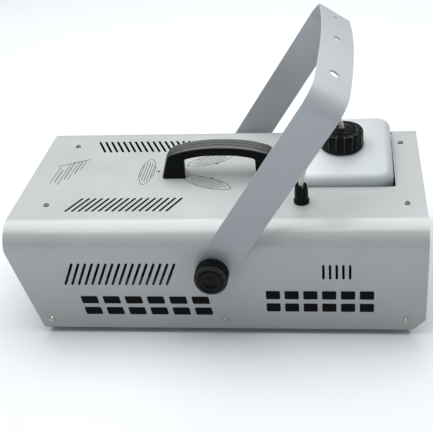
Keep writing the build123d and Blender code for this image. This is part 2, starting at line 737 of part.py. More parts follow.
SPRING_L = SPRING_TOP - PLUNGER_Z[1] - 1.4
with BuildPart() as pump_spring:
    with BuildLine(Plane(origin=(PUMP_X, PUMP_Y, PLUNGER_Z[1] + 0.7))) as coil:
        Helix(pitch=SPRING_L / 6, height=SPRING_L, radius=4.6)
    helix = coil.wires()[0]
    with BuildSketch(Plane(origin=helix @ 0, z_dir=helix % 0)):
        Circle(0.5)
    sweep(path=helix, is_frenet=True)
save(pump_spring, "pump_spring")

# Fluid lines inside the case
HEATER_INLET_X = HEATER_X[1] + 12
suction_line = tube(
    [
        (GLAND_X, GLAND_Y, HOSE_START_Z),
        (GLAND_X, GLAND_Y, 127),
        (100.3, -73.5, 95),
        (102.7, -79.5, 72),
        (101.5, -85.5, 58),
        (93, PUMP_Y, 45),
        (PUMP_X + SPIGOT_L - 4, PUMP_Y, INLET_SPIGOT_Z),
    ],
    HOSE_R,
    "suction_line",
)
save(suction_line, "suction_line")

delivery_line = tube(
    [
        (PUMP_X - SPIGOT_L, PUMP_Y, OUTLET_SPIGOT_Z),
        (24, PUMP_Y, OUTLET_SPIGOT_Z - 1),
        (6, -75, 101),
        (0, -50, 90),
        (-2, -24, 76),
        (-12, -4, 68),
        (HEATER_INLET_X, 0, NOZZLE_Z),
    ],
    2.5,
    "delivery_line",
)
save(delivery_line, "delivery_line")

# Heater block with its two heating rods and the fluid channel
ROD_Y = 18.0
STANDS = [(x, y) for x in (-155.0, -65.0) for y in (-20.0, 20.0)]
THERMOSTATS = [(-130.0, 0.0), (-90.0, 0.0)]
HEATER_L = HEATER_X[1] - HEATER_X[0]
with BuildPart() as heater_block:
    with BuildSketch(Plane.YZ.offset(HEATER_X[0])):
        with Locations((0, (HEATER_Z[0] + HEATER_Z[1]) / 2)):
            RectangleRounded(HEATER_W, HEATER_Z[1] - HEATER_Z[0], 5)
        with Locations((-ROD_Y, NOZZLE_Z), (ROD_Y, NOZZLE_Z)):
            Circle(5 + GAP, mode=Mode.SUBTRACT)
        with Locations((0, NOZZLE_Z)):
            Circle(2.5, mode=Mode.SUBTRACT)
    extrude(amount=HEATER_L)
save(heater_block, "heater_block")

with BuildPart() as heating_rods:
    with BuildSketch(Plane.YZ.offset(HEATER_X[0] + 4)):
        with Locations((-ROD_Y, NOZZLE_Z), (ROD_Y, NOZZLE_Z)):
            Circle(5)
    extrude(amount=HEATER_L + 2)
    with BuildSketch(Plane.YZ.offset(HEATER_X[1] + 5)):
        with Locations((-ROD_Y, NOZZLE_Z), (ROD_Y, NOZZLE_Z)):
            Circle(1.5)
    extrude(amount=9)
save(heating_rods, "heating_rods")

JACKET_IN = (HEATER_W + 2 * GAP, HEATER_Z[1] - HEATER_Z[0] + 2 * GAP)
JACKET_OUT = (JACKET_IN[0] + 2 * JACKET_T, JACKET_IN[1] + 2 * JACKET_T)
with BuildPart() as heater_jacket:
    with BuildSketch(Plane.YZ.offset(HEATER_X[0] - 3)):
        with Locations((0, (HEATER_Z[0] + HEATER_Z[1]) / 2)):
            RectangleRounded(*JACKET_OUT, 12)
            Rectangle(*JACKET_IN, mode=Mode.SUBTRACT)
    extrude(amount=HEATER_L + 6)
    with BuildSketch(Plane.XY.offset(FOOT_H + 10)):
        with Locations(*STANDS):
            Circle(4.5)
    extrude(amount=30, mode=Mode.SUBTRACT)
    with BuildSketch(Plane.XY.offset(HEATER_Z[1] - 2)):
        with Locations(*THERMOSTATS):
            Circle(9)
    extrude(amount=20, mode=Mode.SUBTRACT)
save(heater_jacket, "heater_jacket")

with BuildPart() as jacket_bands:
    for x in (-168.0, -110.0, -50.0):
        with BuildSketch(Plane.YZ.offset(x - 4)):
            with Locations((0, (HEATER_Z[0] + HEATER_Z[1]) / 2)):
                RectangleRounded(JACKET_OUT[0] + 1.6, JACKET_OUT[1] + 1.6, 12.8)
                RectangleRounded(JACKET_OUT[0] + 0.2, JACKET_OUT[1] + 0.2, 12.1, mode=Mode.SUBTRACT)
        extrude(amount=8)
save(jacket_bands, "jacket_bands")

with BuildPart() as heater_stands:
    with BuildSketch(Plane.XY.offset(FOOT_H + SHEET)):
        with Locations(*STANDS):
            Circle(4)
    extrude(amount=HEATER_Z[0] - FOOT_H - SHEET)
save(heater_stands, "heater_stands")

with BuildPart() as thermostats:
    with BuildSketch(Plane.XY.offset(HEATER_Z[1])):
        with Locations(*THERMOSTATS):
            Circle(8)
    extrude(amount=7)
    with BuildSketch(Plane.XY.offset(HEATER_Z[1] + 7)):
        for x, y in THERMOSTATS:
            with Locations((x - 5, y), (x + 5, y)):
                Rectangle(0.8, 6)
    extrude(amount=8)
save(thermostats, "thermostats")

with BuildPart() as heater_inlet_fitting:
    with BuildSketch(Plane.YZ.offset(HEATER_X[1])):
        with Locations((0, NOZZLE_Z)):
            RegularPolygon(5, 6, major_radius=False)
            Circle(1.2, mode=Mode.SUBTRACT)
    extrude(amount=HEATER_INLET_X - HEATER_X[1])
save(heater_inlet_fitting, "heater_inlet_fitting")

# Nozzle and its tube, out through the front panel
NOZZLE_X = (-234.0, -198.0)
with BuildPart() as nozzle_tube:
    with BuildSketch(Plane.YZ.offset(NOZZLE_X[1])):
        with Locations((0, NOZZLE_Z)):
            Circle(5)
            Circle(2, mode=Mode.SUBTRACT)
    extrude(amount=HEATER_X[0] - NOZZLE_X[1])
save(nozzle_tube, "nozzle_tube")

with BuildPart() as nozzle:
    with BuildSketch(Plane.YZ.offset(NOZZLE_X[1])):
        with Locations((0, NOZZLE_Z)):
            Circle(9)
    extrude(amount=-20)
    with BuildSketch(Plane.YZ.offset(NOZZLE_X[1] - 13)):
        with Locations((0, NOZZLE_Z)):
            RegularPolygon(10, 6, major_radius=False)
    extrude(amount=-9)
    with BuildSketch(Plane.YZ.offset(NOZZLE_X[1] - 22)):
        with Locations((0, NOZZLE_Z)):
            Circle(8.5)
    extrude(amount=-14, taper=18)
    with BuildSketch(Plane.YZ.offset(NOZZLE_X[1])):
        with Locations((0, NOZZLE_Z)):
            Circle(1.5)
    extrude(amount=-40, mode=Mode.SUBTRACT)
save(nozzle, "nozzle")

with BuildPart() as nozzle_plate:
    with BuildSketch(Plane.YZ.offset(FRONT_PANEL_X)):
        with Locations((0, NOZZLE_Z)):
            Circle(26)
            Circle(10, mode=Mode.SUBTRACT)
            with PolarLocations(21, 3):
                Circle(1.6, mode=Mode.SUBTRACT)
    extrude(amount=-1.5)
save(nozzle_plate, "nozzle_plate")

# Circuit board, its posts and screws, and what stands on it
BOARD_TOP = BOARD_Z + 1.6
BOARD_HOLES = [(BOARD_X + x, BOARD_Y + y) for x in (-39, 39) for y in (-39, 39)]
with BuildPart() as board_posts:
    with BuildSketch(Plane.XY.offset(FOOT_H + SHEET)):
        with Locations(*BOARD_HOLES):
            RegularPolygon(3, 6, major_radius=False)
            Circle(1.5 + GAP, mode=Mode.SUBTRACT)
    extrude(amount=BOARD_Z - FOOT_H - SHEET)
save(board_posts, "board_posts")

with BuildPart() as circuit_board:
    with BuildSketch(Plane.XY.offset(BOARD_Z)):
        with Locations((BOARD_X, BOARD_Y)):
            RectangleRounded(BOARD_SIZE, BOARD_SIZE, 2)
        with Locations(*BOARD_HOLES):
            Circle(1.5 + GAP, mode=Mode.SUBTRACT)
    extrude(amount=BOARD_TOP - BOARD_Z)
save(circuit_board, "circuit_board")

with BuildPart() as board_screws:
    with BuildSketch(Plane.XY.offset(BOARD_TOP)):
        with Locations(*BOARD_HOLES):
            Circle(2.8)
    extrude(amount=2)
    with BuildSketch(Plane.XY.offset(BOARD_TOP - 8)):
        with Locations(*BOARD_HOLES):
            Circle(1.5)
    extrude(amount=8)
save(board_screws, "board_screws")

with BuildPart() as transformer:
    with BuildSketch(Plane.XY.offset(BOARD_TOP)):
        with Locations((BOARD_X - 18, BOARD_Y + 18)):
            Rectangle(38, 32)
    extrude(amount=28)
    with BuildSketch(Plane.XY.offset(BOARD_TOP + 4)):
        with Locations((BOARD_X - 18, BOARD_Y + 18)):
            RectangleRounded(28, 42, 3)
    extrude(amount=20)
save(transformer, "transformer")

with BuildPart() as relays:
    with BuildSketch(Plane.XY.offset(BOARD_TOP)):
        with Locations((BOARD_X + 20, BOARD_Y + 24), (BOARD_X + 20, BOARD_Y + 2)):
            RectangleRounded(19, 15.5, 1)
    extrude(amount=15.5)
save(relays, "relays")

with BuildPart() as capacitors:
    with BuildSketch(Plane.XY.offset(BOARD_TOP)):
        with Locations((BOARD_X - 30, BOARD_Y - 16), (BOARD_X - 14, BOARD_Y - 16)):
            Circle(6)
    extrude(amount=18)
save(capacitors, "capacitors")

with BuildPart() as terminal_block:
    with BuildSketch(Plane.XY.offset(BOARD_TOP)):
        with Locations((BOARD_X + 10, BOARD_Y - 33)):
            Rectangle(40, 9)
    extrude(amount=11)
    with BuildSketch(Plane.XY.offset(BOARD_TOP + 11)):
        with Locations((BOARD_X + 10, BOARD_Y - 33)):
            with GridLocations(8, 0, 5, 1):
                Circle(2)
    extrude(amount=-3, mode=Mode.SUBTRACT)
save(terminal_block, "terminal_block")

# Mains inlet: flange, body and recessed socket
INLET_DEPTH = 16.0
PINS = [(-7.0, 0.6), (7.0, 0.6), (0.0, 4.0)]
with BuildPart() as power_inlet:
    with BuildSketch(rear_plane(INLET_AT)):
        RectangleRounded(50, 22.5, 4)
        with Locations((-20, 0), (20, 0)):
            Circle(1.5 + GAP, mode=Mode.SUBTRACT)
    extrude(amount=3)
    with BuildSketch(rear_plane(INLET_AT, -22)):
        Rectangle(27, 19.8)
    extrude(amount=22)
    with BuildSketch(rear_plane(INLET_AT, 3 - INLET_DEPTH)) as socket:
        Rectangle(24, 16)
        chamfer(socket.vertices().group_by(Axis.Y)[-1], 3.5)
    extrude(amount=INLET_DEPTH, mode=Mode.SUBTRACT)
    with BuildSketch(rear_plane(INLET_AT, -30)):
        with Locations(*PINS):
            Rectangle(2 + 2 * GAP, 4 + 2 * GAP)
    extrude(amount=20, mode=Mode.SUBTRACT)
save(power_inlet, "power_inlet")

with BuildPart() as inlet_pins:
    with BuildSketch(rear_plane(INLET_AT, -29)):
        with Locations(*PINS):
            Rectangle(2, 4)
    extrude(amount=30)
save(inlet_pins, "inlet_pins")

with BuildPart() as inlet_screws:
    with BuildSketch(rear_plane(INLET_AT, 3)):
        with Locations((-20, 0), (20, 0)):
            Circle(2.7)
    extrude(amount=1.6)
    with BuildSketch(rear_plane(INLET_AT, -6)):
        with Locations((-20, 0), (20, 0)):
            Circle(1.5)
    extrude(amount=9)
save(inlet_screws, "inlet_screws")

# Power switch: housing and rocker
ROCKER_PIVOT_X = REAR_PANEL_X - 2.0
ROCKER_TILT = 8.0
with BuildPart() as switch_housing:
    with BuildSketch(rear_plane(SWITCH_AT)):
        RectangleRounded(15, 21, 1.5)
    extrude(amount=2)
    with BuildSketch(rear_plane(SWITCH_AT, -20)):
        Rectangle(13, 19.2)
    extrude(amount=20)
    with BuildSketch(rear_plane(SWITCH_AT, -8)):
        Rectangle(10.6, 17.4)
    extrude(amount=10, mode=Mode.SUBTRACT)
    with BuildSketch(Plane.XZ.offset(-SWITCH_AT[0])):
        with Locations((ROCKER_PIVOT_X, SWITCH_AT[1])):
            Circle(1 + GAP)
    extrude(amount=6, both=True, mode=Mode.SUBTRACT)
save(switch_housing, "switch_housing")

ROCKER_PLANE = Plane(
    origin=(ROCKER_PIVOT_X, SWITCH_AT[0], SWITCH_AT[1]), x_dir=(1, 0, 0), z_dir=(0, -1, 0)
)
with BuildPart() as switch_rocker:
    with BuildSketch(ROCKER_PLANE):
        Polygon(
            (3.4, -7.6),
            (2.0, 0),
            (3.4, 7.6),
            (1.0, 8.0),
            (-3.6, 3),
            (-3.6, -3),
            (1.0, -8.0),
            rotation=ROCKER_TILT,
            align=None,
        )
    extrude(amount=5.1, both=True)
    with BuildSketch(ROCKER_PLANE):
        Circle(1)
    extrude(amount=5.9, both=True)
save(switch_rocker, "switch_rocker")

# Fuse holder, its bayonet cap and the fuse
with BuildPart() as fuse_holder:
    with BuildSketch(rear_plane(FUSE_AT)):
        Circle(8.5)
    extrude(amount=1.5)
    with BuildSketch(rear_plane(FUSE_AT, -32)):
        Circle(6)
    extrude(amount=32)
    with BuildSketch(rear_plane(FUSE_AT, -28)):
        Circle(3.3)
    extrude(amount=40, mode=Mode.SUBTRACT)
save(fuse_holder, "fuse_holder")

with BuildPart() as fuse_cap:
    with BuildSketch(rear_plane(FUSE_AT, 1.5 + GAP)):
        Circle(6.8)
    extrude(amount=6)
    with BuildSketch(rear_plane(FUSE_AT, 5.5)):
        Rectangle(1.6, 11)
    extrude(amount=4, mode=Mode.SUBTRACT)
    with BuildSketch(rear_plane(FUSE_AT, -4)):
        Circle(3.25)
    extrude(amount=5.5 + GAP)
save(fuse_cap, "fuse_cap")

with BuildPart() as fuse:
    with BuildSketch(rear_plane(FUSE_AT, -25)):
        Circle(2.6)
    extrude(amount=21 - GAP)
save(fuse, "fuse")

# Round socket for the remote control's plug
SOCKET_BORE_R = 8.0
SOCKET_DEPTH = 9.0
with BuildPart() as remote_socket:
    with BuildSketch(rear_plane(SOCKET_AT)):
        Circle(12)
    extrude(amount=3)
    with BuildSketch(rear_plane(SOCKET_AT, -18)):
        Circle(9.5)
    extrude(amount=18)
    with BuildSketch(rear_plane(SOCKET_AT, 3 - SOCKET_DEPTH)):
        Circle(SOCKET_BORE_R)
    extrude(amount=SOCKET_DEPTH, mode=Mode.SUBTRACT)
    with BuildSketch(rear_plane(SOCKET_AT, 3 - SOCKET_DEPTH - 5)):
        with PolarLocations(4.6, 5):
            Circle(0.9)
    extrude(amount=5, mode=Mode.SUBTRACT)
save(remote_socket, "remote_socket")
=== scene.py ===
import json
from math import atan2, cos, pi, radians, sin

import bmesh
import bpy
import numpy as np
from mathutils import Matrix, Vector

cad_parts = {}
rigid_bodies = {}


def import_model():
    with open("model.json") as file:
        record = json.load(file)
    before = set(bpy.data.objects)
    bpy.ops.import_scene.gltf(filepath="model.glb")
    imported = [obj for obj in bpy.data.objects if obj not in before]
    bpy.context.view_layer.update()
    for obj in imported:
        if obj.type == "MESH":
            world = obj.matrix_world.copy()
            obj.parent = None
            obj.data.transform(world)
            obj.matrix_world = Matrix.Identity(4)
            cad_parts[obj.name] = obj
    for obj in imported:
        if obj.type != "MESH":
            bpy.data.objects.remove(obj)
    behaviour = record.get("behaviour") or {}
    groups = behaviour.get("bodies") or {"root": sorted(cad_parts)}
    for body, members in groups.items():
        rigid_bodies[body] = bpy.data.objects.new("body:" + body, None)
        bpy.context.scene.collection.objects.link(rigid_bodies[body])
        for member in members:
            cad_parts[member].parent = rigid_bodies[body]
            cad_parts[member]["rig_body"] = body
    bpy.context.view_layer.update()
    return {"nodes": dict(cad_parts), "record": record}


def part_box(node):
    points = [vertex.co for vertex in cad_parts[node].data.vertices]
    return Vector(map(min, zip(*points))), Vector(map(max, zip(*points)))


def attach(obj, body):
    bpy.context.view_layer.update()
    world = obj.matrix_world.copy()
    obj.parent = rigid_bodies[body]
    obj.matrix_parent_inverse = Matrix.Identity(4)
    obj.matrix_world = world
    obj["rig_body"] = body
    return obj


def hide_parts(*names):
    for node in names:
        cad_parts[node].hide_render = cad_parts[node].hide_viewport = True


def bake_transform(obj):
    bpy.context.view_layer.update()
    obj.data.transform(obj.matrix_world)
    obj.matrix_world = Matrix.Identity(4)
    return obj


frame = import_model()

MM = 0.001
SLOT_OF = {part["node"]: part["material_slot"] for part in frame["record"]["subparts"]}
scene = bpy.context.scene


# ---------------------------------------------------------------- materials


def link(tree, source, target):
    tree.links.new(source, target)


def noise(tree, place, scale, detail=3.0, stretch=(1, 1, 1)):
    """Noise in the object's own metres; stretch squeezes it along an axis."""
    mapping = tree.nodes.new("ShaderNodeMapping")
    mapping.inputs["Scale"].default_value = [scale * s for s in stretch]
    link(tree, place, mapping.inputs["Vector"])
    texture = tree.nodes.new("ShaderNodeTexNoise")
    texture.inputs["Scale"].default_value = 1.0
    texture.inputs["Detail"].default_value = detail
    link(tree, mapping.outputs["Vector"], texture.inputs["Vector"])
    return texture.outputs["Fac"]


def ramp(tree, value, low, high, start=0.3, end=0.7):
    """Colour ramp from one colour to another."""
    node = tree.nodes.new("ShaderNodeValToRGB")
    node.color_ramp.elements[0].position = start
    node.color_ramp.elements[1].position = end
    node.color_ramp.elements[0].color = (*low, 1)
    node.color_ramp.elements[1].color = (*high, 1)
    link(tree, value, node.inputs["Fac"])
    return node.outputs["Color"]


def spread(tree, value, low, high):
    """Number from low to high as value goes from 0.3 to 0.7."""
    node = tree.nodes.new("ShaderNodeMapRange")
    node.inputs["From Min"].default_value = 0.3
    node.inputs["From Max"].default_value = 0.7
    node.inputs["To Min"].default_value = low
    node.inputs["To Max"].default_value = high
    link(tree, value, node.inputs["Value"])
    return node.outputs["Result"]


def material(name, colour, other, rough, bumps=(), tone=(60, 2.0), stretch=(1, 1, 1), **constants):
    """Procedural finish: two near colours, a roughness range and bumps of (scale per metre, depth in mm)."""
    made = bpy.data.materials.new(name)
    made.use_nodes = True
    tree = made.node_tree
    shader = tree.nodes["Principled BSDF"]
    place = tree.nodes.new("ShaderNodeTexCoord").outputs["Object"]
    mottle = noise(tree, place, tone[0], tone[1], stretch)
    link(tree, ramp(tree, mottle, colour, other), shader.inputs["Base Color"])
    link(tree, spread(tree, mottle, *rough), shader.inputs["Roughness"])
    normal = None
    for scale, depth in bumps:
        bump = tree.nodes.new("ShaderNodeBump")
        bump.inputs["Strength"].default_value = 1.0
        bump.inputs["Distance"].default_value = depth * MM
        link(tree, noise(tree, place, scale, 2.0, stretch), bump.inputs["Height"])
        if normal is not None:
            link(tree, normal, bump.inputs["Normal"])
        normal = bump.outputs["Normal"]
    if normal is not None:
        link(tree, normal, shader.inputs["Normal"])
    for socket, value in constants.items():
        shader.inputs[socket.replace("_", " ")].default_value = value
    return made


PAINT_BUMPS = [(320, 0.02), (1500, 0.010)]
FINISH = {
    "cover_paint": material(
        "satin_silver_paint_with_painted_shade", (0.45, 0.47, 0.465), (0.48, 0.50, 0.495), (0.36, 0.42),
        [(320, 0.012), (1500, 0.006)], (14, 3.0), Metallic=0.1, Specular_IOR_Level=0.3,
        Coat_Weight=0.5, Coat_Roughness=0.12,
    ),
    "bracket_paint": material(
        "bracket_silver_paint_with_painted_shade", (0.53, 0.56, 0.58), (0.56, 0.59, 0.61), (0.34, 0.40),
        PAINT_BUMPS, (14, 3.0), Metallic=0.12, Specular_IOR_Level=0.35, Coat_Weight=0.4, Coat_Roughness=0.15,
    ),
    "panel_steel": material(
        "panel_paint", (0.46, 0.475, 0.48), (0.50, 0.51, 0.515), (0.36, 0.44),
        PAINT_BUMPS, (18, 3.0), Metallic=0.15,
    ),
    "plated_steel": material(
        "nickel_plate", (0.50, 0.47, 0.40), (0.62, 0.58, 0.50), (0.16, 0.26),
        [(2500, 0.004)], (500, 3.0), Metallic=1.0,
    ),
    "zinc_steel": material(
        "zinc_plate", (0.56, 0.57, 0.58), (0.68, 0.68, 0.66), (0.28, 0.42),
        [(1800, 0.005)], (240, 4.0), Metallic=1.0,
    ),
    "black_nylon": material(
        "black_nylon", (0.003, 0.003, 0.0035), (0.005, 0.005, 0.0055), (0.17, 0.23),
        [(2600, 0.006)], (180, 2.0), Specular_IOR_Level=0.12,
    ),
    "handle_plastic": material(
        "handle_black", (0.003, 0.003, 0.0035), (0.005, 0.005, 0.0055), (0.26, 0.34),
        [(2400, 0.010)], (160, 2.0), Specular_IOR_Level=0.1,
    ),
    "tank_hdpe": material(
        "tank_polyethylene_with_painted_shade", (0.74, 0.76, 0.765), (0.78, 0.795, 0.80), (0.30, 0.38),
        [(90, 0.05), (900, 0.012)], (22, 2.0), Subsurface_Weight=0.7, Subsurface_Scale=0.008,
        Subsurface_Radius=(1, 1, 1), Transmission_Weight=0.05, IOR=1.5,
    ),
    "hose_pvc": material(
        "milky_pvc", (0.78, 0.78, 0.71), (0.84, 0.84, 0.78), (0.22, 0.30),
        [(600, 0.01)], (120, 2.0), Subsurface_Weight=0.6, Subsurface_Scale=0.004,
        Transmission_Weight=0.12, IOR=1.5,
    ),
    "rubber": material(
        "black_rubber", (0.016, 0.016, 0.016), (0.028, 0.028, 0.027), (0.62, 0.74),
        [(1500, 0.03)], (140, 3.0),
    ),
    "foam": material(
        "black_foam", (0.022, 0.022, 0.023), (0.05, 0.05, 0.05), (0.85, 0.95),
        [(900, 0.25)], (700, 2.0),
    ),
    "brass": material(
        "machined_brass", (0.60, 0.43, 0.17), (0.72, 0.54, 0.25), (0.20, 0.34),
        [(1200, 0.006)], (200, 3.0), (1, 1, 6), Metallic=1.0,
    ),
    "aluminium": material(
        "cast_aluminium", (0.55, 0.56, 0.57), (0.68, 0.69, 0.70), (0.40, 0.55),
        [(700, 0.05)], (260, 4.0), Metallic=1.0,
    ),
    "insulation": material(
        "scorched_blanket", (0.030, 0.028, 0.026), (0.075, 0.070, 0.062), (0.85, 0.95),
        [(350, 0.4), (1400, 0.2)], (420, 4.0), (1, 3, 3), Sheen_Weight=0.2,
    ),
    "pcb": material(
        "solder_mask", (0.008, 0.075, 0.026), (0.014, 0.12, 0.042), (0.24, 0.36),
        [(500, 0.02)], (420, 1.0), (1, 4, 1),
    ),
    "component_black": material(
        "moulded_black", (0.014, 0.014, 0.015), (0.022, 0.022, 0.023), (0.26, 0.36),
        [(2200, 0.010)], (160, 2.0),
    ),
    "component_blue": material(
        "moulded_blue", (0.02, 0.07, 0.28), (0.03, 0.09, 0.34), (0.28, 0.38),
        [(2200, 0.008)], (160, 2.0),
    ),
    "coil_resin": material(
        "cast_resin", (0.022, 0.020, 0.024), (0.036, 0.033, 0.038), (0.18, 0.32),
        [(500, 0.03)], (120, 3.0), Coat_Weight=0.3,
    ),
    "contact_metal": material(
        "tinned_metal", (0.66, 0.64, 0.58), (0.78, 0.76, 0.70), (0.24, 0.36),
        [(1500, 0.006)], (300, 3.0), Metallic=1.0,
    ),
    "rocker_red": material(
        "rocker_red", (0.42, 0.012, 0.010), (0.50, 0.020, 0.016), (0.16, 0.24),
        [(1800, 0.006)], (200, 2.0), Transmission_Weight=0.15, IOR=1.49,
    ),
    "fuse_glass": material(
        "fuse_glass", (0.86, 0.90, 0.90), (0.92, 0.95, 0.95), (0.04, 0.08),
        [(300, 0.004)], (200, 1.0), Transmission_Weight=0.85, IOR=1.5,
    ),
}
# Painted sheen: a grey band on the handle's top stands in for light reflected off the black plastic.
HANDLE_PAINTED_SHEEN = material(
    "handle_painted_sheen_band", (0.085, 0.086, 0.090), (0.105, 0.106, 0.110), (0.34, 0.42),
    [(2400, 0.010)], (160, 2.0), Specular_IOR_Level=0.2,
)


def graded(made, axis, start, end, low, high, middle=None):
    """Tint a finish along one of the object's axes, or outwards from a middle: low at start, high at end."""
    tree = made.node_tree
    split = tree.nodes.new("ShaderNodeSeparateXYZ")
    link(tree, tree.nodes.new("ShaderNodeTexCoord").outputs["Object"], split.inputs["Vector"])
    climb = tree.nodes.new("ShaderNodeMapRange")
    climb.inputs["From Min"].default_value = start
    climb.inputs["From Max"].default_value = end
    place = split.outputs[axis]
    if middle is not None:
        shifted = tree.nodes.new("ShaderNodeMath")
        shifted.operation = "SUBTRACT"
        shifted.inputs[1].default_value = middle
        link(tree, place, shifted.inputs[0])
        folded = tree.nodes.new("ShaderNodeMath")
        folded.operation = "ABSOLUTE"
        link(tree, shifted.outputs["Value"], folded.inputs[0])
        place = folded.outputs["Value"]
    link(tree, place, climb.inputs["Value"])
    tint = ramp(tree, climb.outputs["Result"], low, high, 0.0, 1.0)
    product = tree.nodes.new("ShaderNodeMix")
    product.data_type = "RGBA"
    product.blend_type = "MULTIPLY"
    product.inputs["Factor"].default_value = 1.0
    colour = tree.nodes["Principled BSDF"].inputs["Base Color"]
    link(tree, colour.links[0].from_socket, product.inputs[6])
    link(tree, tint, product.inputs[7])
    link(tree, product.outputs[2], colour)


# Painted shade: the bracket's paint darkens towards its lower part, standing in for the light that falls off
# lower down.
graded(FINISH["bracket_paint"], "Z", 0.150, 0.310, (0.74, 0.74, 0.75), (1, 1, 1))
# Painted shade: the cover's paint darkens towards the bottom of its sides, standing in for less light lower
# down.
graded(FINISH["cover_paint"], "Z", 0.0, 0.105, (0.78, 0.78, 0.79), (1, 1, 1))
# The handle's painted sheen fades to black below its top.
graded(HANDLE_PAINTED_SHEEN, "Z", 0.166, 0.180, (0.08, 0.08, 0.08), (1, 1, 1))
# Painted shade: the tank is tinted darker and bluer towards its near side and its right end, standing in for
# shading.
graded(FINISH["tank_hdpe"], "Y", -0.036, 0.055, (0.93, 0.96, 0.98), (1, 1, 1))
graded(FINISH["tank_hdpe"], "X", 0.120, 0.205, (1, 1, 1), (0.68, 0.705, 0.725))
# Painted highlight: a grey finish on ridge crests and edges of black plastic, standing in for glints of
# light.
RIDGE_HIGHLIGHT_PAINT = material(
    "painted_ridge_highlight", (0.075, 0.075, 0.077), (0.12, 0.12, 0.122), (0.22, 0.30), [(2600, 0.006)], (400, 2.0),
    Specular_IOR_Level=0.5,
)
# Inside of the cover: the paint colour where the inside reaches past the panels, and painted shade, near
# black, inside the box between them.
INNER_PAINT_AND_SHADE = material(
    "inner_paint_with_painted_shade", (0.42, 0.44, 0.44), (0.45, 0.47, 0.47), (0.7, 0.8), [(800, 0.02)], (60, 2.0),
    Specular_IOR_Level=0.1,
)
front_x, rear_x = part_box("front_panel")[0].x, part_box("rear_panel")[1].x
panel_reach = (rear_x - front_x) / 2
graded(
    INNER_PAINT_AND_SHADE, "X", panel_reach - 0.75 * MM, panel_reach - 0.05 * MM, (0.02, 0.02, 0.02), (1, 1, 1),
    middle=(front_x + rear_x) / 2,
)
INK = material(
    "screen_ink", (0.004, 0.004, 0.005), (0.007, 0.007, 0.008), (0.42, 0.50), [(1800, 0.006)], (300, 2.0),
    Specular_IOR_Level=0.05,
)
FINE_INK = material(
    "grey_screen_ink", (0.012, 0.012, 0.013), (0.020, 0.020, 0.021), (0.45, 0.52),
    [(1800, 0.006)], (300, 2.0), Specular_IOR_Level=0.15,
)

for node, cad in frame["nodes"].items():
    cad.data.materials.clear()
    cad.data.materials.append(FINISH[SLOT_OF[node]])


# ---------------------------------------------------------------- mesh helpers


def piece_from(name, points, faces, body, slot, finish=None, sharp=35, nodes=()):
    """New piece from points in metres; faces are smooth up to the sharp angle."""
    mesh = bpy.data.meshes.new(name)
    mesh.from_pydata([tuple(p) for p in points], [], [tuple(f) for f in faces])
    mesh.validate()
    made = bpy.data.objects.new(name, mesh)
    scene.collection.objects.link(made)
    work = bmesh.new()
    work.from_mesh(mesh)
    bmesh.ops.recalc_face_normals(work, faces=work.faces)
    work.to_mesh(mesh)
    work.free()
    mesh.shade_smooth()
    mesh.set_sharp_from_angle(angle=radians(sharp))
    mesh.materials.append(finish or FINISH[slot])
    if body is not None:
        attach(made, body)
    if nodes:
        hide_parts(*nodes)
    return made


def refined(node, name, width, segments=2, sharp=30):
    """Copy of a CAD node with flat faces merged and its edges rounded by width, in mm."""
    mesh = frame["nodes"][node].data.copy()
    mesh.name = name
    work = bmesh.new()
    work.from_mesh(mesh)
    bmesh.ops.remove_doubles(work, verts=work.verts, dist=1e-6)
    bmesh.ops.dissolve_limit(work, angle_limit=radians(0.6), verts=work.verts, edges=work.edges)
    work.to_mesh(mesh)
    work.free()
    made = bpy.data.objects.new(name, mesh)
    scene.collection.objects.link(made)
    mesh.shade_smooth()
    mesh.set_sharp_from_angle(angle=radians(sharp))
    bevel = made.modifiers.new("rounded edges", "BEVEL")
    bevel.width = width * MM
    bevel.segments = segments
    bevel.limit_method = "ANGLE"
    bevel.angle_limit = radians(sharp)
    bevel.miter_outer = "MITER_ARC"
    bevel.harden_normals = True
    weighted = made.modifiers.new("flat faces stay flat", "WEIGHTED_NORMAL")
    weighted.keep_sharp = True
    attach(made, frame["nodes"][node]["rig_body"])
    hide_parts(node)
    return made


def grid_faces(rows, columns, start=0):
    """Quads between rows of points, each row a closed ring of columns points."""
    faces = []
    for row in range(rows - 1):
        first = start + row * columns
        for here in range(columns):
            after = (here + 1) % columns
            faces.append((first + here, first + after, first + columns + after, first + columns + here))
    return faces


def turned(profile, centre, axis, across, ribs, rib, per_rib):
    """Body of revolution from (radius, height) in mm; rib(radius, height, share) changes the radius."""
    count = ribs * per_rib
    axis = Vector(axis)
    across = Vector(across)
    third = axis.cross(across)
    points = []
    for radius, height in profile:
        for i in range(count):
            angle = 2 * pi * i / count
            here = rib(radius, height, (i % per_rib) / per_rib)
            out = across * cos(angle) + third * sin(angle)
            points.append(Vector(centre) + (out * here + axis * height) * MM)
    faces = grid_faces(len(profile), count)
    return points, faces, count


# ---------------------------------------------------------------- suction hose

HOSE_ROUTE = [
    (98.8, -70.8, 160),
    (98.8, -70.8, 172),
    (103.9, -66.8, 189),
    (110, -54.5, 207),
    (117.2, -35.5, 221),
    (124.8, -13, 227),
    (131.8, 7, 223),
    (137.3, 20.5, 213),
    (141.2, 28.3, 201),
    (144.5, 31.5, 189.6),
]
HOSE_RADIUS = 3.0

line = bpy.data.curves.new("hose_line", "CURVE")
line.dimensions = "3D"
line.resolution_u = 12
spline = line.splines.new("NURBS")
spline.points.add(len(HOSE_ROUTE) - 1)
for point, place in zip(spline.points, HOSE_ROUTE):
    point.co = (*[value * MM for value in place], 1)
spline.order_u = 3
spline.use_endpoint_u = True
line_object = bpy.data.objects.new("hose_line", line)
hose_path = [v.co.copy() for v in bpy.data.meshes.new_from_object(line_object).vertices]
bpy.data.objects.remove(line_object)


